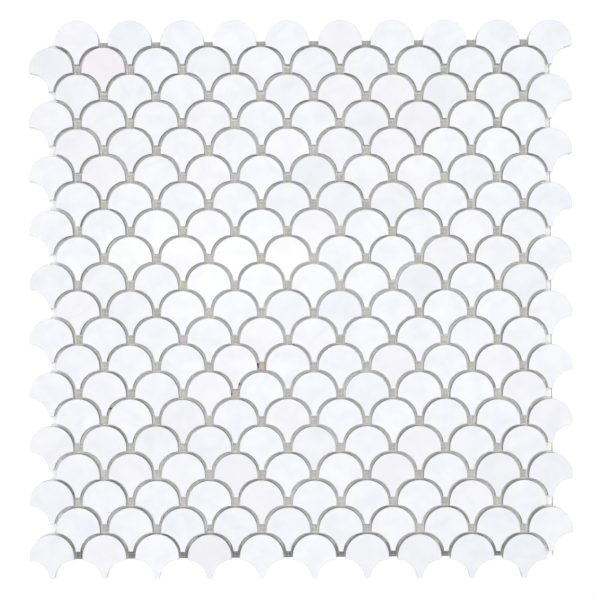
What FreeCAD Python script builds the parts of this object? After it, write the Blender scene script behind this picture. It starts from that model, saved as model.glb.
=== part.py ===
import FreeCAD, Part
import math
import os
import Sketcher

# A mosaic sheet of fish scale tiles: 200 loose fan-shaped pieces of polished
# white stone, laid in rows with half a pitch of stagger on one thin backing.
# Sizes are in millimetres. +Z is up, out of the polished faces, and +Y points
# the way the domes point. The origin is under the middle of the tile field,
# on the face that goes into the adhesive.

SIZES = [
    ("tiles_in_row", "10", "tiles side by side in each row"),
    ("row_count", "20", "rows, each half a pitch to one side of the next"),
    ("dome_radius", "11.6", "round top of a tile, half its width"),
    ("dome_edges", "8", "straight edges that make a tile's round top"),
    ("flank_edges", "4", "straight edges that make each hollow flank"),
    ("side_length", "1.85", "straight side from the dome down to the shoulder"),
    ("stem_width", "2.4", "blunt end of the stem"),
    ("tile_thickness", "8.0", "thickness of the stone"),
    ("side_joint", "4.8", "from one tile to the next in its row"),
    ("shoulder_joint", "1.2", "from a shoulder to the dome below it, where two rows are closest"),
    ("flank_tightness", "0.8", "a flank is rounder than the dome in it by this much of radius"),
    ("stem_joint", "5.5", "from a stem's end to the dome below it, two rows down"),
    ("overhang", "10.0", "the outer tiles stand out past the backing by this much"),
    ("backing_thickness", "0.5", "backing with the adhesive in it"),
    ("backing_skew", "0.35", "degrees that the backing lies askew to the rows"),
]

# The tiles set their own spacing: two in a row are a joint apart, and a row
# comes up between the shoulders of the row above until a joint is left.
COLUMN_PITCH = "(2 * sizes.dome_radius + sizes.side_joint)"
NESTING = "((sizes.dome_radius + sizes.shoulder_joint)^2 - (sizes.side_joint / 2)^2)"
ROW_PITCH = f"(sizes.side_length + sqrt({NESTING}))"

# From a dome's centre down to the end of the stem.
STEM_LENGTH = f"(2 * {ROW_PITCH} - sizes.dome_radius - sizes.stem_joint)"

# A dome lies in the flanks of two tiles above it. They are a little rounder
# than it is, so the joint is widest half way along.
FLANK_RADIUS = "(sizes.dome_radius - sizes.flank_tightness)"

# Neighbouring rows are half a pitch apart along X, which widens the field.
FIELD_WIDTH = f"((sizes.tiles_in_row - 0.5) * {COLUMN_PITCH} + 2 * sizes.dome_radius)"
FIELD_LENGTH = f"((sizes.row_count - 1) * {ROW_PITCH} + sizes.dome_radius + {STEM_LENGTH})"

# Points of a curve, as sketch constraints number them, and the sketch's own
# origin and X axis.
START, END, CENTRE = range(1, 4)
ORIGIN = (-1, 1)
ACROSS = ORIGIN[0]


def make_sheet(doc):
    """The driving dimensions, one to a line, each with its alias."""
    sheet = doc.addObject("Spreadsheet::Sheet", "sizes")
    for line, (alias, value, meaning) in enumerate(SIZES, start=1):
        sheet.set(f"A{line}", meaning)
        sheet.set(f"B{line}", value)
        sheet.setAlias(f"B{line}", alias)
    doc.recompute()
    return sheet


def make_body(doc, label):
    """An empty body, named for its sub-part."""
    body = doc.addObject("PartDesign::Body", label)
    body.Label = label
    return body


def flat_sketch(body, name):
    """A sketch on the body's own XY plane."""
    plane = next(f for f in body.Origin.OriginFeatures if f.Role == "XY_Plane")
    sketch = body.newObject("Sketcher::SketchObject", name)
    sketch.AttachmentSupport = [(plane, "")]
    sketch.MapMode = "FlatFace"
    return sketch


def constrain(sketch, *terms):
    """A geometric rule between curves of a sketch."""
    sketch.addConstraint(Sketcher.Constraint(*terms))


def bind(sketch, formula, *terms):
    """A dimension of a sketch, tied to the sheet by a formula."""
    value = sketch.evalExpression(formula)
    index = sketch.addConstraint(Sketcher.Constraint(*terms, value))
    sketch.setExpression(f"Constraints[{index}]", formula)


def draw_round(sketch, arc, count):
    """A round stretch of a tile, as equal straight edges between points of an arc.

    True arcs would take more than twice the facets, times 200 tiles.
    """
    guide = sketch.addGeometry(arc, True)
    step = (arc.LastParameter - arc.FirstParameter) / count
    points = [arc.value(arc.FirstParameter + step * i) for i in range(count + 1)]
    lines = [Part.LineSegment(here, there) for here, there in zip(points, points[1:])]
    edges = [sketch.addGeometry(line, False) for line in lines]
    constrain(sketch, "Coincident", guide, START, edges[0], START)
    constrain(sketch, "Coincident", guide, END, edges[-1], END)
    for here, there in zip(edges, edges[1:]):
        constrain(sketch, "Coincident", here, END, there, START)
        constrain(sketch, "PointOnObject", here, END, guide)
        constrain(sketch, "Equal", here, there)
    return guide, edges[0], edges[-1]


def hollow_arc(shoulder, stem, radius):
    """The arc of a flank, which sinks into the tile between its two ends."""
    chord = stem - shoulder
    depth = radius - math.sqrt(radius**2 - chord.Length**2 / 4)
    inward = FreeCAD.Vector(chord.y, -chord.x) / chord.Length
    if shoulder.x > 0:
        return Part.Arc(shoulder, (shoulder + stem) / 2 + inward * depth, stem)
    # An arc in a sketch runs anticlockwise, so the left one starts at the stem.
    return Part.Arc(stem, (shoulder + stem) / 2 - inward * depth, shoulder)


def draw_tile(sketch, sheet):
    """A fan: a half-round dome, two short sides, two hollow flanks and a stem."""
    dome = sheet.dome_radius
    half_stem = sheet.stem_width / 2
    stem = sketch.evalExpression(STEM_LENGTH)
    right, crown, left = (FreeCAD.Vector(*p) for p in ((dome, 0), (0, dome), (-dome, 0)))
    drop = FreeCAD.Vector(0, -sheet.side_length)
    stem_ends = [FreeCAD.Vector(x, -stem) for x in (-half_stem, half_stem)]
    hollow = dome - sheet.flank_tightness
    flank_edges = int(sheet.flank_edges)

    top_arc = Part.Arc(right, crown, left)
    left_arc = hollow_arc(left + drop, stem_ends[0], hollow)
    right_arc = hollow_arc(right + drop, stem_ends[1], hollow)
    top, top_first, top_last = draw_round(sketch, top_arc, int(sheet.dome_edges))
    left_flank, left_first, left_last = draw_round(sketch, left_arc, flank_edges)
    right_flank, right_first, right_last = draw_round(sketch, right_arc, flank_edges)
    left_side = sketch.addGeometry(Part.LineSegment(left, left + drop), False)
    right_side = sketch.addGeometry(Part.LineSegment(right + drop, right), False)
    stem_end = sketch.addGeometry(Part.LineSegment(*stem_ends), False)

    constrain(sketch, "Coincident", top, CENTRE, *ORIGIN)
    constrain(sketch, "PointOnObject", top, START, ACROSS)
    constrain(sketch, "PointOnObject", top, END, ACROSS)
    constrain(sketch, "Coincident", top_last, END, left_side, START)
    constrain(sketch, "Coincident", left_side, END, left_last, END)
    constrain(sketch, "Coincident", left_first, START, stem_end, START)
    constrain(sketch, "Coincident", stem_end, END, right_last, END)
    constrain(sketch, "Coincident", right_first, START, right_side, START)
    constrain(sketch, "Coincident", right_side, END, top_first, START)
    constrain(sketch, "Vertical", left_side)
    constrain(sketch, "Vertical", right_side)
    constrain(sketch, "Horizontal", stem_end)
    bind(sketch, "sizes.dome_radius", "Radius", top)
    bind(sketch, FLANK_RADIUS, "Radius", left_flank)
    bind(sketch, FLANK_RADIUS, "Radius", right_flank)
    bind(sketch, "-sizes.side_length", "DistanceY", *ORIGIN, left_side, END)
    bind(sketch, "-sizes.side_length", "DistanceY", *ORIGIN, right_side, START)
    bind(sketch, f"-{STEM_LENGTH}", "DistanceY", *ORIGIN, stem_end, START)
    bind(sketch, "-sizes.stem_width / 2", "DistanceX", *ORIGIN, stem_end, START)
    bind(sketch, "sizes.stem_width / 2", "DistanceX", *ORIGIN, stem_end, END)


def make_tile_row(doc, sheet, row):
    """One row of loose tiles: a padded fan, repeated along the row."""
    name = f"{row + 1:02d}"
    body = make_body(doc, f"tile_row_{name}")
    body.AllowCompound = True
    sketch = flat_sketch(body, f"fan_outline_{name}")
    draw_tile(sketch, sheet)
    doc.recompute()

    tile = body.newObject("PartDesign::Pad", f"tile_{name}")
    tile.Profile = sketch
    tile.setExpression("Length", "sizes.tile_thickness")
    doc.recompute()

    repeat = body.newObject("PartDesign::LinearPattern", f"tiles_{name}")
    repeat.Originals = [tile]
    repeat.Direction = (sketch, ["H_Axis"])
    repeat.setExpression("Length", f"(sizes.tiles_in_row - 1) * {COLUMN_PITCH}")
    repeat.setExpression("Occurrences", "sizes.tiles_in_row")
    body.Tip = repeat

    # Odd and even rows start on opposite sides of the field.
    edge = f"-{FIELD_WIDTH} / 2 + sizes.dome_radius"
    stagger = f"{COLUMN_PITCH} / 2" if row % 2 == 0 else "0"
    top = f"{FIELD_LENGTH} / 2 - sizes.dome_radius"
    body.setExpression("Placement.Base.x", f"{edge} + {stagger}")
    body.setExpression("Placement.Base.y", f"{top} - {row} * {ROW_PITCH}")
    body.setExpression("Placement.Base.z", "sizes.backing_thickness")
    return body


def make_backing(doc):
    """The sheet under the tiles: smaller than their field and slightly askew."""
    body = make_body(doc, "backing_sheet")
    sketch = flat_sketch(body, "backing_outline")
    width = f"({FIELD_WIDTH} - 2 * sizes.overhang)"
    length = f"({FIELD_LENGTH} - 2 * sizes.overhang)"
    x = sketch.evalExpression(width) / 2
    y = sketch.evalExpression(length) / 2
    corners = [FreeCAD.Vector(*c) for c in ((-x, -y), (x, -y), (x, y), (-x, y))]
    for here, there in zip(corners, corners[1:] + corners[:1]):
        sketch.addGeometry(Part.LineSegment(here, there), False)
    bottom, right, top, left = range(len(corners))
    for here, there in ((bottom, right), (right, top), (top, left), (left, bottom)):
        constrain(sketch, "Coincident", here, END, there, START)
    for edge in (bottom, top):
        constrain(sketch, "Horizontal", edge)
    for edge in (left, right):
        constrain(sketch, "Vertical", edge)
    constrain(sketch, "Symmetric", bottom, START, top, START, *ORIGIN)
    bind(sketch, width, "DistanceX", bottom, START, bottom, END)
    bind(sketch, length, "DistanceY", right, START, right, END)
    doc.recompute()

    pad = body.newObject("PartDesign::Pad", "backing")
    pad.Profile = sketch
    pad.setExpression("Length", "sizes.backing_thickness")
    body.setExpression("Placement.Rotation.Angle", "sizes.backing_skew")
    return body


def check_document(doc, bodies):
    """Stops before anything is written if a feature failed or a shape is bad."""
    for thing in doc.Objects:
        if "Invalid" in thing.State or "Error" in thing.State:
            raise RuntimeError(f"{thing.Name} failed: {thing.State}")
        if thing.isDerivedFrom("Sketcher::SketchObject") and not thing.FullyConstrained:
            raise RuntimeError(f"{thing.Name} is not fully constrained")
    for body in bodies:
        if body.Shape.isNull() or not body.Shape.isValid():
            raise RuntimeError(f"{body.Label} has no valid shape")


def main():
    doc = FreeCAD.newDocument("fish_scale_tile_sheet")
    sheet = make_sheet(doc)
    bodies = [make_tile_row(doc, sheet, row) for row in range(int(sheet.row_count))]
    bodies.append(make_backing(doc))
    doc.recompute()
    check_document(doc, bodies)

    os.makedirs("parts", exist_ok=True)
    for body in bodies:
        body.Shape.exportStep(f"parts/{body.Label}.step")


main()
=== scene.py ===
"""Dresses a mosaic sheet of fish scale tiles.

Twenty rows of polished white marble fans lie on an adhesive-filled mesh. The
sheet's sizes come from the frame, and what the frame can't say is a property.
"""

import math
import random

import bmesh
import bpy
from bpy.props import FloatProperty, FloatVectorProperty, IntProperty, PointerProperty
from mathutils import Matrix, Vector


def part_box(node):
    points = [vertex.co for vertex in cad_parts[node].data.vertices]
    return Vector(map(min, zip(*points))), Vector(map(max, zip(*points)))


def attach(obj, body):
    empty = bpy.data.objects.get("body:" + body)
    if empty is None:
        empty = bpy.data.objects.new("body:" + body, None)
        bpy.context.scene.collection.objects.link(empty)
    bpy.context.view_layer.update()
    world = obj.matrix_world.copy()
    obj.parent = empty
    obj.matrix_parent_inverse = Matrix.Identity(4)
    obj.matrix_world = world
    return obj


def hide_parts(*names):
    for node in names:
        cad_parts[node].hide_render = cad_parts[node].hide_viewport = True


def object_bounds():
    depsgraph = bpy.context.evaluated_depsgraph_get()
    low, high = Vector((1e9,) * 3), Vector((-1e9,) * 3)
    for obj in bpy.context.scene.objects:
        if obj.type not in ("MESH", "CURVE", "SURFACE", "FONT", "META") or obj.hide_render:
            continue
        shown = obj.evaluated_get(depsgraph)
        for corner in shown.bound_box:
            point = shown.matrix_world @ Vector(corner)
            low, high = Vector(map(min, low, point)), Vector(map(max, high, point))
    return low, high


bl_info = {
    "name": "Fish scale mosaic sheet",
    "version": (1, 0, 0),
    "blender": (4, 5, 0),
    "location": "3D View > Sidebar > Mosaic",
    "description": "Models and finishes a sheet of fish scale marble tiles",
    "category": "Add Mesh",
}

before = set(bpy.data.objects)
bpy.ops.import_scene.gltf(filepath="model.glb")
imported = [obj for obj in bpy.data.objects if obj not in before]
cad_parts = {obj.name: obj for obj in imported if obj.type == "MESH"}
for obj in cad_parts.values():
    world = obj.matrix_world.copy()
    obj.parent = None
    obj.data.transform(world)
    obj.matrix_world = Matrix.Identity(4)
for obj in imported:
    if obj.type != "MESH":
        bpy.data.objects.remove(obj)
CAD_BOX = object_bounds()
MM = 0.001

ROW_NODES = sorted(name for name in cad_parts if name.startswith("tile_row_"))
BACKING_NODE = "backing_sheet"

# Where the photograph shows things, in whole pixels from its top left one. At
# the tiles' polished faces a pixel is this long, and the camera this far up.
PICTURE_MIDDLE_PIXEL = (299.5, 299.5)
FIELD_MIDDLE_PIXEL = (300.4, 298.7)
PIXEL_LENGTH = 0.5325 * MM
CAMERA_HEIGHT = 850 * MM

GREY_TILE_PIXELS = (
    (497, 467),
    (230, 470),
    (315, 441),
    (208, 556),
    (366, 556),
    (419, 556),
    (471, 556),
    (524, 556),
)
PINK_TILE_PIXEL = (103, 61)
CHIPPED_TILE_PIXEL = (393, 312)

# The flake off that tile's shoulder: its middle, its size and its turn.
CHIP_PIXEL = (412, 319.1)
CHIP_SIZE = (6.5 * MM, 4 * MM, 20 * MM)
CHIP_TURN = math.radians(9)

# The stains: where the photograph shows each, and how far it reaches in millimetres.
# The last speck is moved a little from there, so that it lies in its joint.
BROWN_STAINS = (((262, 366), 3.4), ((235, 391), 2.8))
DARK_SPECKS = (
    ((257.2, 363.8), 1.0),
    ((257.8, 366.4), 0.55),
    ((231, 393), 0.55),
    ((238.5, 383), 0.65),
    ((110.4, 407.7), 0.7),
)
# A stain is even out to this share of its reach, and fades past it.
STAIN_CORE = 0.6

# How grey or pinkish the chosen tiles are, and the spread and the most of all others.
CHOSEN_GREYNESS = 0.3
GREYNESS = (0.12, 0.35)
CHOSEN_PINKNESS = 0.6
PINKNESS = (0.1, 0.3)

# The tiles are cut from places this far about in a block, in metres.
BLOCK_REACH = 9

# The haze on a sawn side goes from full to none between these heights over the foot.
HAZE_FADE = (3 * MM, 6 * MM)
# Near the sheet's edges, where the white floor lights them, sawn sides lose both
# their adhesive grey and their painted shade between these ways in from the
# backing's side edges, and between its end edges and this far past them.
CLEAN_LIT_SIDES = (9 * MM, 2 * MM)
CLEAN_LIT_ENDS = 1 * MM

# The backing's ends grey from the first to the second of these, in end margins from
# its edge, the bottom end darker than the top. Its sides whiten over a short way, partly
# as whiter adhesive and partly as painted light coming in at the open sides, and a thin
# painted shadow of the cut edge shows between the last two ways in from its right edge.
TOP_GREYING = (1.3, 0.9)
BOTTOM_GREYING = (1.7, 0.9)
SIDE_WHITENING = 0.4 * MM
CUT_SHADOW_LINE = (0.8 * MM, 0.3 * MM)
# How strongly the greyed ends show on the threads and the beads, with the film at 1.
GREYING_ON_TOP = 0.6

# A bead's rounded top takes this share of its width, and its foot goes this far into the film.
BEAD_ROUNDING = 0.9
BEAD_FOOTING = 0.02 * MM
# Beads end this far inside the backing's edges, and tiles stay this far inside the sheet's box.
BEAD_ROOM = 0.1 * MM
TILE_ROOM = 0.03 * MM
# A tile this far inside the backing's edges, or more, needs no trim to its bead.
BACKED_ROOM = 1 * MM

# Edges flatter than this are shaded smooth.
FAN_SMOOTHING = math.radians(20)
THREAD_SMOOTHING = math.radians(50)

# The floor's width in metres, the strength of the white that it is seen with, and
# that white's share.
FLOOR_SPAN = 6
FLOOR_WHITE = 1.08
FLOOR_WHITE_SHARE = 0.7

# Each lamp's place and spread in metres, and the setting for its power. The polish
# doesn't mirror the overhead lamp, as if through a polarising filter, because its
# image would cover the whole sheet.
OVERHEAD_LAMP = "overhead"
LAMPS = {
    "soft_top": ((0.0, 1.12, 3.0), (2.4, 0.5), "side_power"),
    "soft_bottom": ((0.0, -1.12, 3.0), (2.4, 0.5), "side_power"),
    OVERHEAD_LAMP: ((0.0, 0.0, 1.2), (0.7, 0.7), "overhead_power"),
    "glare": ((-0.1, 0.053, 0.87), (0.23, 0.014), "glare_power"),
    "glow": ((-0.053, 0.012, 0.88), (0.14, 0.08), "glow_power"),
}

# Sockets of the Mix node when it mixes colours, and of the Map Range node.
MIX_FACTOR, MIX_A, MIX_B = 0, 6, 7
MIX_RESULT = 2
VALUE, FROM_START, FROM_END, TO_START, TO_END = range(5)


def linear(code):
    """A colour from its sRGB hex code, with alpha."""
    channels = [int(code[i : i + 2], 16) / 255 for i in (1, 3, 5)]
    curved = [c / 12.92 if c <= 0.04045 else ((c + 0.055) / 1.055) ** 2.4 for c in channels]
    return (*curved, 1.0)


def colour(name, description, code):
    """A colour property with an sRGB hex default."""
    return FloatVectorProperty(
        name=name, description=description, subtype="COLOR", size=4, min=0, max=1, default=linear(code)
    )


def length(name, description, millimetres):
    """A length property in metres with its default in millimetres."""
    return FloatProperty(
        name=name, description=description, default=millimetres * MM, unit="LENGTH", precision=5
    )


def angle(name, description, degrees):
    """An angle property in radians with its default in degrees."""
    return FloatProperty(
        name=name, description=description, default=math.radians(degrees), unit="ROTATION", precision=4
    )


def power(name, description, watts):
    """A lamp's power property."""
    return FloatProperty(name=name, description=description, default=watts, unit="POWER")


class TileSettings(bpy.types.PropertyGroup):
    """Sizes and colours of the marble fans."""

    side_length: length("Side length", "Straight side from the dome to the shoulder", 1.85)
    stem_width: length("Stem width", "Blunt end of the stem", 2.4)
    flank_tightness: length("Flank tightness", "A flank is rounder than a dome by this", 0.8)
    arris: length("Arris", "Width of the worn edge round the polished face", 0.2)
    laying_error: length("Laying error", "Spread of the tiles about their places", 0.12)
    turn_error: angle("Turn error", "Spread of the tiles' turns", 0.35)
    tilt_error: angle("Tilt error", "Most that a tile tips", 0.12)
    thickness_error: length("Thickness error", "The thinnest tile is this much thinner", 0.15)
    face: colour("Polished face", "White marble, polished", "#F6F7FC")
    cloud: colour("Clouds", "Greyer clouds in the marble", "#EEEFF6")
    vein: colour("Veins", "Faint grey veins", "#E2E4EB")
    grey: colour("Grey tiles", "Marble of the greyest tiles", "#DFE1E6")
    pink: colour("Pink tile", "Marble with a pinkish cast", "#EFEAED")
    # The sawn grey is partly adhesive and partly painted shade of the deep joints between the tiles.
    sawn: colour("Sawn side", "Sawn marble round the sides", "#D6D6D2")
    # Marble for the sides near the edges: without the adhesive grey and the painted shade, as lit by the
    # white floor.
    clean: colour("Clean side", "Sawn marble past the backing, where no adhesive greys it", "#F5F6F7")
    haze: colour("Adhesive haze", "Adhesive that has run up a tile's foot", "#F2F2EF")
    seed: IntProperty(name="Seed", description="Chooses how the tiles differ", default=11)


class BackingSettings(bpy.types.PropertyGroup):
    """Sizes and colours of the mesh and the adhesive in it."""

    thread_spacing: length("Thread spacing", "From one thread of the mesh to the next", 1.7)
    thread_width: length("Thread width", "Thickness of a thread", 0.46)
    film_thickness: length("Film thickness", "Adhesive between the threads", 0.38)
    bead_width: length("Bead width", "Adhesive that stands round a tile's foot", 0.8)
    bead_height: length("Bead height", "How high that adhesive stands", 0.75)
    # The backing is drawn greyer in strips this wide at its top and bottom ends.
    end_margin: length("Bare margin", "Top and bottom strips with little adhesive", 5.0)
    # The side strips are drawn white partly for whiter adhesive and partly as painted light coming in at
    # the open sides.
    side_pale_and_lit_margin: length("Side margin", "Strips along the sides that stay white", 5.4)
    film: colour("Adhesive film", "Dried adhesive between the threads", "#C4C5B4")
    film_rosy: colour("Rosy film", "Dried adhesive with a rosy cast", "#C9C2C2")
    film_thin: colour("Thin adhesive", "Adhesive where it is thin", "#AEAEA7")
    # Greys for the strips at the backing's top and bottom ends, darker at the bottom.
    top_end_grey: colour("Bare top end", "Mesh with little adhesive, near its top end", "#A0A0A2")
    bottom_end_grey: colour("Bare bottom end", "The same near its bottom end", "#717172")
    # White of the side strips: partly adhesive, partly painted light from the open sides.
    side: colour("White side", "Backing past the outer tiles", "#F6F6F4")
    # A thin line of painted shadow along the backing's right cut edge.
    cut: colour("Cut edge", "Cut edge of the mesh, at its right side", "#A9A9A2")
    thread: colour("Thread", "Coated glass thread", "#EDECE3")
    bead: colour("Bead", "Adhesive at the tiles' feet", "#E3E3DF")
    bead_pale: colour("Pale bead", "Adhesive at the feet where it is thick", "#F0F0EE")
    brown: colour("Brown stain", "Stain in two joints", "#CABFB6")
    dirt: colour("Dirt", "Dark specks caught in the joints", "#463A33")


class StageSettings(bpy.types.PropertyGroup):
    """The camera, the lamps and the floor."""

    frame_width: length("Frame width", "What the picture spans at the polished faces", 319.5)
    roll: angle("Roll", "Turn of the rows in the picture", 0.13)
    floor: colour("Floor", "Plain pale floor", "#F8F8F8")
    surround: FloatProperty(name="Surround", description="Strength of the even surround", default=0.24)
    side_power: power("Side lamps", "Power of each of the two far soft lamps", 10.0)
    overhead_power: power("Overhead lamp", "Power of the wide soft lamp above the sheet", 9.7)
    glare_power: power("Glare lamp", "Power of the narrow lamp that the polish shows", 0.05)
    glow_power: power("Glow lamp", "Power of the wider faint lamp beside it", 0.03)


def select_only(*objects):
    """Leaves these objects selected, and the first of them active."""
    bpy.ops.object.select_all(action="DESELECT")
    for thing in objects:
        thing.select_set(True)
    if objects:
        bpy.context.view_layer.objects.active = objects[0]


def start_edit(thing):
    """Starts edit mode on a piece's faces."""
    select_only(thing)
    bpy.ops.object.mode_set(mode="EDIT")
    bpy.ops.mesh.select_mode(type="FACE")


def select_faces(thing, wanted):
    """Selects only those faces of an edited piece that pass a test."""
    bpy.ops.mesh.select_all(action="DESELECT")
    mesh = bmesh.from_edit_mesh(thing.data)
    mesh.normal_update()
    for face in mesh.faces:
        if wanted(face):
            face.select_set(True)
    bmesh.update_edit_mesh(thing.data)


def end_edit():
    """Ends edit mode."""
    bpy.ops.object.mode_set(mode="OBJECT")


def apply_modifiers(thing):
    """Applies every modifier of a piece."""
    select_only(thing)
    for name in [modifier.name for modifier in thing.modifiers]:
        bpy.ops.object.modifier_apply(modifier=name)


def cut_away(thing, cutter):
    """Cuts one closed form out of another, and removes the cutter."""
    cut = thing.modifiers.new("cut", "BOOLEAN")
    cut.operation = "DIFFERENCE"
    cut.solver = "EXACT"
    cut.object = cutter
    apply_modifiers(thing)
    bpy.data.objects.remove(cutter)


def settle(thing, name):
    """Puts a piece's place into its mesh and names it."""
    select_only(thing)
    bpy.ops.object.transform_apply(location=True, rotation=True, scale=True)
    thing.name = name
    thing.data.name = name


def dress(thing, *materials):
    """Gives a piece its materials in place of any that it has."""
    thing.data.materials.clear()
    for material in materials:
        thing.data.materials.append(material)


def add_node(tree, kind, settings=None, inputs=None):
    """Adds a node. Each input is a plain value or the socket that feeds it."""
    made = tree.nodes.new(kind)
    for name, value in (settings or {}).items():
        setattr(made, name, value)
    for name, value in (inputs or {}).items():
        if isinstance(value, bpy.types.NodeSocket):
            tree.links.new(value, made.inputs[name])
        else:
            made.inputs[name].default_value = value
    return made


def new_material(name):
    """A material with nothing but its shader, and that shader."""
    material = bpy.data.materials.new(name)
    material.use_nodes = True
    return material, material.node_tree, material.node_tree.nodes["Principled BSDF"]


def cycles(millimetres):
    """Scale of a texture whose features are this far apart."""
    return 1 / (millimetres * MM)


def from_pixel(pixel, depth=0.0):
    """Where a pixel of the photograph lies, at a depth below the polished faces."""
    reach = PIXEL_LENGTH * (1 + depth / CAMERA_HEIGHT)
    across = (pixel[0] - FIELD_MIDDLE_PIXEL[0]) * reach
    up = (FIELD_MIDDLE_PIXEL[1] - pixel[1]) * reach
    return Vector((across, up, 0))


class FieldSizes:
    """The fan's and the field's sizes, worked out from the rows' boxes."""

    def __init__(self, tiles):
        low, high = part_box(ROW_NODES[0])
        next_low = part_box(ROW_NODES[1])[0]
        self.column_pitch = 2 * (low.x - next_low.x)
        self.in_row = round((high.x - low.x) / self.column_pitch)
        self.radius = (high.x - low.x - (self.in_row - 1) * self.column_pitch) / 2
        self.stem = high.y - low.y - self.radius
        self.thickness = high.z - low.z
        self.foot = low.z
        self.side = tiles.side_length
        self.stem_width = tiles.stem_width
        self.flank_radius = self.radius - tiles.flank_tightness

    def flank_centre(self):
        """Centre of the arc of the right flank, outside the tile."""
        shoulder = Vector((self.radius, -self.side))
        tip = Vector((self.stem_width / 2, -self.stem))
        chord = tip - shoulder
        outward = Vector((-chord.y, chord.x)).normalized()
        rise = math.sqrt(self.flank_radius**2 - chord.length_squared / 4)
        return (shoulder + tip) / 2 + outward * rise

    def places(self, node):
        """Dome centres of a row's tiles, from the row's own box."""
        low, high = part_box(node)
        first = low.x + self.radius
        return [Vector((first + i * self.column_pitch, high.y - self.radius)) for i in range(self.in_row)]


class BackingSizes:
    """The backing's own sizes and turn, from the corners of its solid."""

    def __init__(self):
        corners = [vertex.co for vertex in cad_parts[BACKING_NODE].data.vertices]
        lowest = min(corners, key=lambda corner: corner.y)
        rightmost = max(corners, key=lambda corner: corner.x)
        highest = max(corners, key=lambda corner: corner.y)
        bottom_edge = (rightmost - lowest).to_2d()
        right_edge = (highest - rightmost).to_2d()
        self.width = bottom_edge.length
        self.length = right_edge.length
        self.skew = math.atan2(bottom_edge.y, bottom_edge.x)
        low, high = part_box(BACKING_NODE)
        self.middle = (low + high) / 2


def model_fan(size, thickness, grow, dome_steps, flank_steps):
    """A fan with its dome's centre over the origin, grown outwards all round.

    Half a cylinder is the dome. Its flat side is drawn out down to the stem,
    and a cylinder on each side cuts a hollow flank into what was drawn out.
    """
    select_only()
    bpy.ops.mesh.primitive_cylinder_add(
        vertices=2 * dome_steps, radius=size.radius + grow, depth=thickness, location=(0, 0, thickness / 2)
    )
    fan = bpy.context.object
    bpy.ops.object.transform_apply(location=True)
    start_edit(fan)
    bpy.ops.mesh.select_all(action="SELECT")
    bpy.ops.mesh.bisect(plane_co=(0, 0, 0), plane_no=(0, 1, 0), use_fill=True, clear_inner=True)
    select_faces(fan, lambda face: face.normal.y < -0.99)
    bpy.ops.mesh.extrude_region_move(TRANSFORM_OT_translate={"value": (0, -size.stem - grow, 0)})
    end_edit()

    centre = size.flank_centre()
    for side in (-1, 1):
        select_only()
        bpy.ops.mesh.primitive_cylinder_add(
            vertices=flank_steps,
            radius=size.flank_radius - grow,
            depth=3 * thickness,
            location=(side * centre.x, centre.y, thickness / 2),
        )
        cut_away(fan, bpy.context.object)
    return fan


def bevel_top(fan, width):
    """Bevels the edge round a fan's top face."""
    start_edit(fan)
    select_faces(fan, lambda face: face.normal.z > 0.99)
    bpy.ops.mesh.region_to_loop()
    bpy.ops.mesh.bevel(offset=width, segments=1, affect="EDGES")
    end_edit()


def go_over(tree, tone, other, value, start=0.0, end=1.0, most=1.0):
    """Takes a tone over to another colour, at most by a share, as a value goes from start to end."""
    ends = {VALUE: value, FROM_START: start, FROM_END: end, TO_END: most}
    share = add_node(tree, "ShaderNodeMapRange", inputs=ends).outputs[0]
    colours = {MIX_FACTOR: share, MIX_A: tone, MIX_B: other}
    return add_node(tree, "ShaderNodeMix", {"data_type": "RGBA"}, colours).outputs[MIX_RESULT]


def add_dirt(tree, place, tone, backing):
    """Two brownish joints and the dark specks, at the places where the photograph shows them.

    Each is an upright stain, so it marks the film and the sides of the joint alike.
    """
    stains = [(*spot, backing.brown) for spot in BROWN_STAINS]
    stains += [(*spot, backing.dirt) for spot in DARK_SPECKS]
    flat = add_node(tree, "ShaderNodeVectorMath", {"operation": "MULTIPLY"}, {0: place, 1: (1, 1, 0)})
    for pixel, reach, stain in stains:
        middle = from_pixel(pixel, CAD_BOX[1].z - CAD_BOX[0].z)
        away = add_node(
            tree, "ShaderNodeVectorMath", {"operation": "DISTANCE"}, {0: flat.outputs[0], 1: middle}
        )
        core = STAIN_CORE * reach * MM
        tone = go_over(tree, tone, stain, away.outputs["Value"], reach * MM, core)
    return tone


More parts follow.
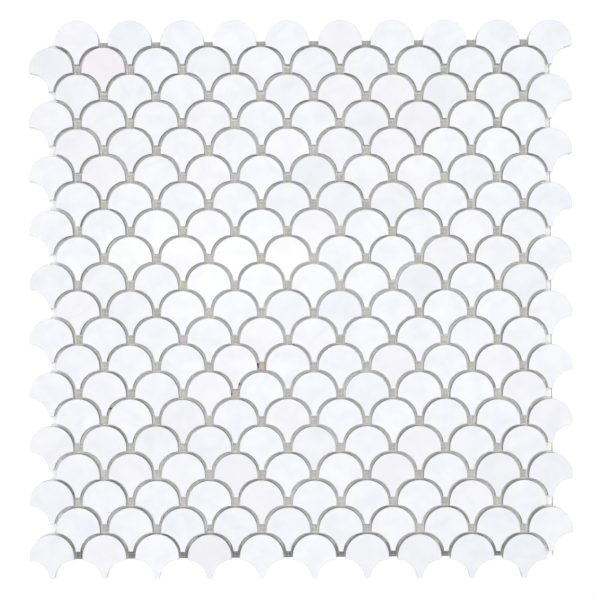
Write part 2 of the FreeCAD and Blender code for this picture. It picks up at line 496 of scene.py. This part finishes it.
def polished_marble(tiles):
    """White marble, ground and polished.

    The eye sees a cool white with clouds a little greyer, a few faint veins, no
    two tiles cut from the same place, and a sharp reflection of the lamps.
    """
    material, tree, surface = new_material("polished_marble")
    place = add_node(tree, "ShaderNodeTexCoord").outputs["Object"]
    cut = add_node(tree, "ShaderNodeAttribute", {"attribute_name": "cut_from"}).outputs["Vector"]
    block = add_node(tree, "ShaderNodeVectorMath", inputs={0: place, 1: cut}).outputs[0]
    clouds = add_node(
        tree,
        "ShaderNodeTexNoise",
        inputs={"Vector": block, "Scale": cycles(9), "Detail": 5, "Distortion": 0.4},
    )
    tone = go_over(tree, tiles.face, tiles.cloud, clouds.outputs[0], 0.38, 0.72)

    # A vein shows where a warped noise passes through its middle value.
    streaks = add_node(
        tree,
        "ShaderNodeTexNoise",
        inputs={"Vector": block, "Scale": cycles(40), "Detail": 2, "Distortion": 0.8},
    )
    offset = add_node(tree, "ShaderNodeMath", {"operation": "SUBTRACT"}, {0: streaks.outputs[0], 1: 0.5})
    distance = add_node(tree, "ShaderNodeMath", {"operation": "ABSOLUTE"}, {0: offset.outputs[0]})
    tone = go_over(tree, tone, tiles.vein, distance.outputs[0], 0.05, 0.0, most=0.2)
    for name, other in (("greyness", tiles.grey), ("pinkness", tiles.pink)):
        share = add_node(tree, "ShaderNodeAttribute", {"attribute_name": name}).outputs["Fac"]
        tone = go_over(tree, tone, other, share)
    tree.links.new(tone, surface.inputs["Base Color"])

    grain = add_node(tree, "ShaderNodeTexNoise", inputs={"Vector": block, "Scale": cycles(3), "Detail": 2})
    ends = {VALUE: grain.outputs[0], TO_START: 0.07, TO_END: 0.15}
    gloss = add_node(tree, "ShaderNodeMapRange", inputs=ends)
    tree.links.new(gloss.outputs[0], surface.inputs["Roughness"])
    bump = add_node(
        tree, "ShaderNodeBump", inputs={"Height": grain.outputs[0], "Strength": 0.05, "Distance": 0.02 * MM}
    )
    tree.links.new(bump.outputs[0], surface.inputs["Normal"])
    surface.inputs["IOR"].default_value = 1.5
    return material


def sawn_marble(tiles, backing, foot, sheet):
    """Marble as the blade left it, with adhesive haze at the foot.

    The eye sees a matt side with upright saw marks, pale with adhesive at the foot.
    Its grey above the foot is partly adhesive and partly painted shade of the deep
    joints, and near the sheet's edges that grey gives way to unstained marble lit by
    the white floor. Real saw marks are finer, and too fine to show.
    """
    material, tree, surface = new_material("sawn_marble")
    place = add_node(tree, "ShaderNodeTexCoord").outputs["Object"]
    height = add_node(tree, "ShaderNodeSeparateXYZ", inputs={0: place}).outputs["Z"]
    full, none = HAZE_FADE
    # Painted shade of the deep joints, with some adhesive grey, darkens the sawn side above its pale foot.
    tone = go_over(tree, tiles.sawn, tiles.haze, height, foot + none, foot + full)
    # Near the sheet's edges the sides lose their painted shade and adhesive grey, where the white floor
    # lights them.
    across, along = sheet_place(tree, place, sheet)
    side, end = sheet.width / 2, sheet.length / 2
    for way, start, stop in (
        (across, side - CLEAN_LIT_SIDES[0], side - CLEAN_LIT_SIDES[1]),
        (along, end, end + CLEAN_LIT_ENDS),
    ):
        away = add_node(tree, "ShaderNodeMath", {"operation": "ABSOLUTE"}, {0: way}).outputs[0]
        tone = go_over(tree, tone, tiles.clean, away, start, stop)
    tone = add_dirt(tree, place, tone, backing)
    tree.links.new(tone, surface.inputs["Base Color"])
    marks = add_node(
        tree, "ShaderNodeMapping", inputs={"Vector": place, "Scale": (cycles(0.4), cycles(0.4), cycles(9))}
    )
    saw = add_node(tree, "ShaderNodeTexNoise", inputs={"Vector": marks.outputs[0], "Scale": 1.0})
    bump = add_node(
        tree, "ShaderNodeBump", inputs={"Height": saw.outputs[0], "Strength": 0.4, "Distance": 0.05 * MM}
    )
    tree.links.new(bump.outputs[0], surface.inputs["Normal"])
    surface.inputs["Roughness"].default_value = 0.6
    return material


def sheet_place(tree, place, size):
    """Where a point lies across and along the backing, from its middle and square to its edges."""
    square = add_node(
        tree,
        "ShaderNodeMapping",
        {"vector_type": "TEXTURE"},
        {"Vector": place, "Location": (size.middle.x, size.middle.y, 0), "Rotation": (0, 0, size.skew)},
    )
    parts = add_node(tree, "ShaderNodeSeparateXYZ", inputs={0: square.outputs[0]})
    return parts.outputs["X"], parts.outputs["Y"]


def change_margins(tree, place, tone, backing, size, strength=1.0):
    """Greys a tone at the sheet's two ends by a strength, and whitens it along the sides.

    The ends are drawn greyer, the bottom one darker. The white along the sides is partly
    whiter adhesive and partly painted light, where light comes in at the open sides, and
    the right side carries a thin line of painted shadow at its cut edge.
    """
    across, along = sheet_place(tree, place, size)
    far, margin = size.length / 2, backing.end_margin
    # The ends are drawn greyer, the bottom one darker.
    start, stop = (far - share * margin for share in TOP_GREYING)
    tone = go_over(tree, tone, backing.top_end_grey, along, start, stop, strength)
    start, stop = (share * margin - far for share in BOTTOM_GREYING)
    tone = go_over(tree, tone, backing.bottom_end_grey, along, start, stop, strength)
    # Painted light, together with whiter adhesive, along the sides.
    aside = add_node(tree, "ShaderNodeMath", {"operation": "ABSOLUTE"}, {0: across}).outputs[0]
    inner = size.width / 2 - backing.side_pale_and_lit_margin
    tone = go_over(tree, tone, backing.side, aside, inner, inner + SIDE_WHITENING)
    # A thin line of painted shadow just inside the right cut edge.
    start, stop = (size.width / 2 - way for way in CUT_SHADOW_LINE)
    return go_over(tree, tone, backing.cut, across, start, stop)


def adhesive_film(backing, size):
    """Dried adhesive between the threads of the mesh.

    The eye sees a smooth pale film that is olive in one joint and rosy grey in
    the next, and darker where it is thin. A thin line of painted shadow runs along its right cut edge.
    """
    material, tree, surface = new_material("adhesive_film")
    place = add_node(tree, "ShaderNodeTexCoord").outputs["Object"]
    drift = add_node(tree, "ShaderNodeTexNoise", inputs={"Vector": place, "Scale": cycles(18), "Detail": 1})
    tone = go_over(tree, backing.film, backing.film_rosy, drift.outputs[0], 0.42, 0.58)
    clouds = add_node(tree, "ShaderNodeTexNoise", inputs={"Vector": place, "Scale": cycles(9), "Detail": 3})
    tone = go_over(tree, tone, backing.film_thin, clouds.outputs[0], 0.4, 0.65)
    tone = change_margins(tree, place, tone, backing, size)
    tone = add_dirt(tree, place, tone, backing)
    tree.links.new(tone, surface.inputs["Base Color"])
    ripple = add_node(tree, "ShaderNodeTexNoise", inputs={"Vector": place, "Scale": cycles(1.2)})
    bump = add_node(
        tree, "ShaderNodeBump", inputs={"Height": ripple.outputs[0], "Strength": 0.25, "Distance": 0.1 * MM}
    )
    tree.links.new(bump.outputs[0], surface.inputs["Normal"])
    surface.inputs["Roughness"].default_value = 0.25
    return material


def glass_thread(backing, size):
    """Coated glass thread of the mesh, pale and slightly glossy.

    The eye sees its fibres as fine specks of light and dark. They are far finer
    than a pixel, and are drawn as coarse as they need to be to show.
    """
    material, tree, surface = new_material("glass_thread")
    place = add_node(tree, "ShaderNodeTexCoord").outputs["Object"]
    fibres = add_node(
        tree, "ShaderNodeTexNoise", inputs={"Vector": place, "Scale": cycles(0.5), "Detail": 3}
    )
    tone = go_over(tree, backing.thread, backing.film_thin, fibres.outputs[0])
    tone = change_margins(tree, place, tone, backing, size, GREYING_ON_TOP)
    tree.links.new(tone, surface.inputs["Base Color"])
    bump = add_node(
        tree, "ShaderNodeBump", inputs={"Height": fibres.outputs[0], "Strength": 0.3, "Distance": 0.05 * MM}
    )
    tree.links.new(bump.outputs[0], surface.inputs["Normal"])
    surface.inputs["Roughness"].default_value = 0.4
    return material


def foot_adhesive(backing, size):
    """Adhesive squeezed out round a tile's foot, which the eye sees as pale, smooth and a little shiny."""
    material, tree, surface = new_material("foot_adhesive")
    place = add_node(tree, "ShaderNodeTexCoord").outputs["Object"]
    clouds = add_node(tree, "ShaderNodeTexNoise", inputs={"Vector": place, "Scale": cycles(4), "Detail": 3})
    tone = go_over(tree, backing.bead, backing.bead_pale, clouds.outputs[0])
    tone = change_margins(tree, place, tone, backing, size, GREYING_ON_TOP)
    tone = add_dirt(tree, place, tone, backing)
    tree.links.new(tone, surface.inputs["Base Color"])
    bump = add_node(
        tree, "ShaderNodeBump", inputs={"Height": clouds.outputs[0], "Strength": 0.3, "Distance": 0.1 * MM}
    )
    tree.links.new(bump.outputs[0], surface.inputs["Normal"])
    surface.inputs["Roughness"].default_value = 0.3
    return material


def split_finishes(tile):
    """Gives the polished material to a tile's upward faces, and the sawn one to the rest."""
    for face in tile.data.polygons:
        face.material_index = 0 if face.normal.z > 0.2 else 1


def nearest_place(places, pixel):
    """Number of the tile that a pixel of the photograph shows."""
    target = from_pixel(pixel).to_2d()
    return min(range(len(places)), key=lambda i: (places[i] - target).length)


def write_tile_values(mesh, values):
    """Writes a tile's own values to all its points, for the marble to read."""
    for name, value in values.items():
        if isinstance(value, float):
            attribute = mesh.attributes.new(name, "FLOAT", "POINT")
            attribute.data.foreach_set("value", [value] * len(attribute.data))
        else:
            attribute = mesh.attributes.new(name, "FLOAT_VECTOR", "POINT")
            attribute.data.foreach_set("vector", list(value) * len(attribute.data))


class MOSAIC_OT_tiles(bpy.types.Operator):
    """Models one fan and lays every row with copies of it"""

    bl_idname = "mosaic.tiles"
    bl_label = "Lay the Tiles"

    def execute(self, context):
        tiles = context.scene.mosaic_tiles
        backing = context.scene.mosaic_backing
        size = FieldSizes(tiles)
        chance = random.Random(tiles.seed)
        fan = model_fan(size, size.thickness, 0, dome_steps=16, flank_steps=40)
        bevel_top(fan, tiles.arris)
        dress(fan, polished_marble(tiles), sawn_marble(tiles, backing, size.foot, BackingSizes()))
        split_finishes(fan)
        select_only(fan)
        bpy.ops.object.shade_smooth_by_angle(angle=FAN_SMOOTHING)

        rows = {node: size.places(node) for node in ROW_NODES}
        everywhere = [place for places in rows.values() for place in places]
        grey = {nearest_place(everywhere, pixel) for pixel in GREY_TILE_PIXELS}
        pink = nearest_place(everywhere, PINK_TILE_PIXEL)
        chipped = nearest_place(everywhere, CHIPPED_TILE_PIXEL)
        number = 0
        for node in ROW_NODES:
            laid = []
            for place in rows[node]:
                tile = self.lay(fan, place, size, tiles, chance)
                if number == chipped:
                    self.chip(tile)
                greyness = CHOSEN_GREYNESS if number in grey else self.cast(chance, *GREYNESS)
                pinkness = CHOSEN_PINKNESS if number == pink else self.cast(chance, *PINKNESS)
                values = {
                    "greyness": greyness,
                    "pinkness": pinkness,
                    "cut_from": [chance.uniform(-BLOCK_REACH, BLOCK_REACH) for axis in range(3)],
                }
                write_tile_values(tile.data, values)
                laid.append(tile)
                number += 1
            select_only(*laid)
            bpy.ops.object.join()
            row = laid[0]
            settle(row, node.replace("tile_row", "marble_row"))
            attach(row, "root")
            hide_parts(node)
        bpy.data.objects.remove(fan)
        return {"FINISHED"}

    def cast(self, chance, spread, most):
        """How far a tile that isn't a chosen one goes over to another colour of marble."""
        return min(most, abs(chance.gauss(0, spread)))

    def lay(self, fan, place, size, tiles, chance):
        """One tile, a little off its place as hands leave it, and inside the sheet's box."""
        select_only(fan)
        bpy.ops.object.duplicate()
        tile = bpy.context.object
        across, up = (max(-2, min(2, chance.gauss(0, 1))) * tiles.laying_error for axis in range(2))
        low, high = CAD_BOX
        left, right = low.x + size.radius + TILE_ROOM, high.x - size.radius - TILE_ROOM
        bottom, top = low.y + size.stem + TILE_ROOM, high.y - size.radius - TILE_ROOM
        x = max(left, min(right, place.x + across))
        y = max(bottom, min(top, place.y + up))
        tile.location = (x, y, size.foot)
        tip, roll = (chance.uniform(-1, 1) * tiles.tilt_error for axis in range(2))
        tile.rotation_euler = (tip, roll, chance.gauss(0, 1) * tiles.turn_error)
        lift = 2 * size.radius * math.sin(tiles.tilt_error)
        tile.scale.z = 1 - (lift + chance.random() * tiles.thickness_error) / size.thickness
        return tile

    def chip(self, tile):
        """Breaks the lower corner off a tile's right shoulder."""
        select_only()
        middle = from_pixel(CHIP_PIXEL)
        bpy.ops.mesh.primitive_cube_add(
            size=1, location=(middle.x, middle.y, CAD_BOX[1].z / 2), rotation=(0, 0, CHIP_TURN)
        )
        flake = bpy.context.object
        flake.scale = CHIP_SIZE
        cut_away(tile, flake)
        split_finishes(tile)


class MOSAIC_OT_backing(bpy.types.Operator):
    """Models the adhesive film and the threads of the mesh in it"""

    bl_idname = "mosaic.backing"
    bl_label = "Make the Backing"

    def execute(self, context):
        backing = context.scene.mosaic_backing
        size = BackingSizes()
        film = self.film(backing, size)
        dress(film, adhesive_film(backing, size))
        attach(film, "root")
        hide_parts(BACKING_NODE)
        threads = self.threads(backing, size)
        dress(threads, glass_thread(backing, size))
        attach(threads, "root")
        return {"FINISHED"}

    def film(self, backing, size):
        """A thin slab with softened edges."""
        select_only()
        bpy.ops.mesh.primitive_cube_add(size=1, location=size.middle)
        film = bpy.context.object
        film.scale = (size.width, size.length, backing.film_thickness)
        bpy.ops.object.transform_apply(location=False, rotation=False, scale=True)
        soft = film.modifiers.new("soft_edge", "BEVEL")
        soft.width = backing.film_thickness / 3
        soft.segments = 2
        apply_modifiers(film)
        film.rotation_euler.z = size.skew
        settle(film, "adhesive_film")
        return film

    def threads(self, backing, size):
        """Two layers of straight threads, which cross and stand proud of the film."""
        layers = []
        spans = ((size.width, size.length, 0), (size.length, size.width, math.pi / 2))
        for across, along, turn in spans:
            count = int(across / backing.thread_spacing)
            select_only()
            bpy.ops.mesh.primitive_cylinder_add(
                vertices=8, radius=backing.thread_width / 2, depth=along, rotation=(math.pi / 2, 0, 0)
            )
            thread = bpy.context.object
            bpy.ops.object.transform_apply(rotation=True)
            thread.location.x = -(count - 1) / 2 * backing.thread_spacing
            bpy.ops.object.transform_apply(location=True)
            repeat = thread.modifiers.new("repeat", "ARRAY")
            repeat.count = count
            repeat.use_relative_offset = False
            repeat.use_constant_offset = True
            repeat.constant_offset_displace = (backing.thread_spacing, 0, 0)
            apply_modifiers(thread)
            thread.rotation_euler.z = turn
            bpy.ops.object.transform_apply(rotation=True)
            layers.append(thread)
        select_only(*layers)
        bpy.ops.object.join()
        threads = layers[0]
        threads.location = size.middle
        threads.rotation_euler.z = size.skew
        settle(threads, "mesh_threads")
        bpy.ops.object.shade_smooth_by_angle(angle=THREAD_SMOOTHING)
        return threads


class MOSAIC_OT_adhesive(bpy.types.Operator):
    """Models the adhesive that stands round the tiles' feet"""

    bl_idname = "mosaic.adhesive"
    bl_label = "Add the Adhesive Beads"

    def execute(self, context):
        tiles = context.scene.mosaic_tiles
        backing = context.scene.mosaic_backing
        size = FieldSizes(tiles)
        sheet = BackingSizes()
        bead = model_fan(size, backing.bead_height, backing.bead_width, dome_steps=12, flank_steps=28)
        bevel_top(bead, BEAD_ROUNDING * backing.bead_width)
        select_only(bead)
        bpy.ops.object.shade_smooth_by_angle(angle=FAN_SMOOTHING)
        film_top = sheet.middle.z + backing.film_thickness / 2
        beads = []
        for node in ROW_NODES:
            for place in size.places(node):
                select_only(bead)
                bpy.ops.object.duplicate()
                copy = bpy.context.object
                copy.location = (place.x, place.y, film_top - BEAD_FOOTING)
                if not self.is_backed(place, size, sheet):
                    self.trim(copy, sheet)
                beads.append(copy)
        select_only(*beads)
        bpy.ops.object.join()
        settle(beads[0], "adhesive_beads")
        dress(beads[0], foot_adhesive(backing, sheet))
        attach(beads[0], "root")
        bpy.data.objects.remove(bead)
        return {"FINISHED"}

    def trim(self, bead, sheet):
        """Cuts a bead off at the sheet's edges, past which it would have nothing under it."""
        bpy.ops.object.transform_apply(location=True)
        start_edit(bead)
        for quarter in range(4):
            turn = sheet.skew + quarter * math.pi / 2
            outward = Vector((math.cos(turn), math.sin(turn), 0))
            reach = (sheet.width, sheet.length)[quarter % 2] / 2 - BEAD_ROOM
            bpy.ops.mesh.select_all(action="SELECT")
            bpy.ops.mesh.bisect(
                plane_co=sheet.middle + outward * reach, plane_no=outward, use_fill=True, clear_outer=True
            )
        bpy.ops.mesh.select_all(action="SELECT")
        bpy.ops.mesh.normals_make_consistent(inside=False)
        end_edit()

    def is_backed(self, place, size, sheet):
        """Whether all of a tile lies on the backing, with room for its bead."""
        offset = place - sheet.middle.to_2d()
        inside_width = abs(offset.x) < sheet.width / 2 - size.radius - BACKED_ROOM
        inside_length = abs(offset.y) < sheet.length / 2 - size.stem - BACKED_ROOM
        return inside_width and inside_length


class MOSAIC_OT_stage(bpy.types.Operator):
    """Sets the floor, the lamps, the world and the camera"""

    bl_idname = "mosaic.stage"
    bl_label = "Set the Stage"

    def execute(self, context):
        stage = context.scene.mosaic_stage
        self.floor(stage)
        self.lamps(stage)
        self.world(context, stage)
        self.camera(context, stage)
        context.scene.view_settings.view_transform = "Standard"
        return {"FINISHED"}

    def seen(self, tree):
        """1 for what the camera sees, by itself or in gloss or through glass, and 0 for other light."""
        path = add_node(tree, "ShaderNodeLightPath")
        first = add_node(
            tree,
            "ShaderNodeMath",
            {"operation": "MAXIMUM"},
            {0: path.outputs["Is Camera Ray"], 1: path.outputs["Is Glossy Ray"]},
        )
        both = add_node(
            tree,
            "ShaderNodeMath",
            {"operation": "MAXIMUM"},
            {0: first.outputs[0], 1: path.outputs["Is Transmission Ray"]},
        )
        return both.outputs[0]

    def floor(self, stage):
        """A wide plain floor. It looks white and keeps a light shadow of the sheet."""
        select_only()
        bpy.ops.mesh.primitive_plane_add(size=FLOOR_SPAN)
        floor = bpy.context.object
        floor.name = "floor"
        material, tree, surface = new_material("pale_floor")
        surface.inputs["Base Color"].default_value = stage.floor
        surface.inputs["Roughness"].default_value = 0.8
        surface.inputs["Specular IOR Level"].default_value = 0.0
        white = add_node(
            tree, "ShaderNodeEmission", inputs={"Color": (1, 1, 1, 1), "Strength": FLOOR_WHITE}
        )
        share = add_node(
            tree, "ShaderNodeMath", {"operation": "MULTIPLY"}, {0: self.seen(tree), 1: FLOOR_WHITE_SHARE}
        )
        mixed = add_node(
            tree,
            "ShaderNodeMixShader",
            inputs={0: share.outputs[0], 1: surface.outputs[0], 2: white.outputs[0]},
        )
        tree.links.new(mixed.outputs[0], tree.nodes["Material Output"].inputs["Surface"])
        dress(floor, material)

    def lamps(self, stage):
        """Soft lamps past the top and bottom edges, a wide one above, and two that the polish shows."""
        for name, (place, spread, setting) in LAMPS.items():
            self.lamp(name, place, spread, getattr(stage, setting))

    def lamp(self, name, place, spread, power):
        """A rectangular lamp that faces the sheet and that the camera doesn't see."""
        select_only()
        bpy.ops.object.light_add(type="AREA", location=place)
        lamp = bpy.context.object
        lamp.name = name
        lamp.data.shape = "RECTANGLE"
        lamp.data.size, lamp.data.size_y = spread
        lamp.data.energy = power
        lamp.visible_camera = False
        lamp.visible_glossy = name != OVERHEAD_LAMP
        if name.startswith("soft"):
            lamp.rotation_euler = Vector(place).to_track_quat("Z", "Y").to_euler()

    def world(self, context, stage):
        """An even surround: white where it is seen, and dimmer as light."""
        world = bpy.data.worlds.new("surround")
        world.use_nodes = True
        tree = world.node_tree
        ends = {VALUE: self.seen(tree), TO_START: stage.surround, TO_END: 1.0}
        strength = add_node(tree, "ShaderNodeMapRange", inputs=ends)
        background = tree.nodes["Background"]
        background.inputs["Color"].default_value = (1, 1, 1, 1)
        tree.links.new(strength.outputs[0], background.inputs["Strength"])
        context.scene.world = world

    def camera(self, context, stage):
        """A camera over the middle of the picture that looks straight down."""
        middle = from_pixel(PICTURE_MIDDLE_PIXEL)
        select_only()
        bpy.ops.object.camera_add(
            location=(middle.x, middle.y, CAD_BOX[1].z + CAMERA_HEIGHT), rotation=(0, 0, -stage.roll)
        )
        camera = bpy.context.object
        camera.name = "camera"
        camera.data.lens = camera.data.sensor_width * CAMERA_HEIGHT / stage.frame_width
        context.scene.camera = camera


class MOSAIC_PT_panel(bpy.types.Panel):
    """The sheet's operators and settings"""

    bl_idname = "MOSAIC_PT_panel"
    bl_label = "Fish Scale Mosaic"
    bl_space_type = "VIEW_3D"
    bl_region_type = "UI"
    bl_category = "Mosaic"

    def draw(self, context):
        for operator in OPERATORS:
            self.layout.operator(operator.bl_idname)
        for group in (context.scene.mosaic_tiles, context.scene.mosaic_backing, context.scene.mosaic_stage):
            box = self.layout.box()
            for name in group.bl_rna.properties.keys():
                if name not in ("rna_type", "name"):
                    box.prop(group, name)


SETTINGS = {"mosaic_tiles": TileSettings, "mosaic_backing": BackingSettings, "mosaic_stage": StageSettings}
OPERATORS = (MOSAIC_OT_tiles, MOSAIC_OT_backing, MOSAIC_OT_adhesive, MOSAIC_OT_stage)
CLASSES = (*SETTINGS.values(), *OPERATORS, MOSAIC_PT_panel)


def register():
    for kind in CLASSES:
        bpy.utils.register_class(kind)
    for name, kind in SETTINGS.items():
        setattr(bpy.types.Scene, name, PointerProperty(type=kind))


def unregister():
    for name in SETTINGS:
        delattr(bpy.types.Scene, name)
    for kind in reversed(CLASSES):
        bpy.utils.unregister_class(kind)


def main():
    register()
    bpy.ops.mosaic.tiles()
    bpy.ops.mosaic.backing()
    bpy.ops.mosaic.adhesive()
    bpy.ops.mosaic.stage()


if __name__ == "__main__":
    main()
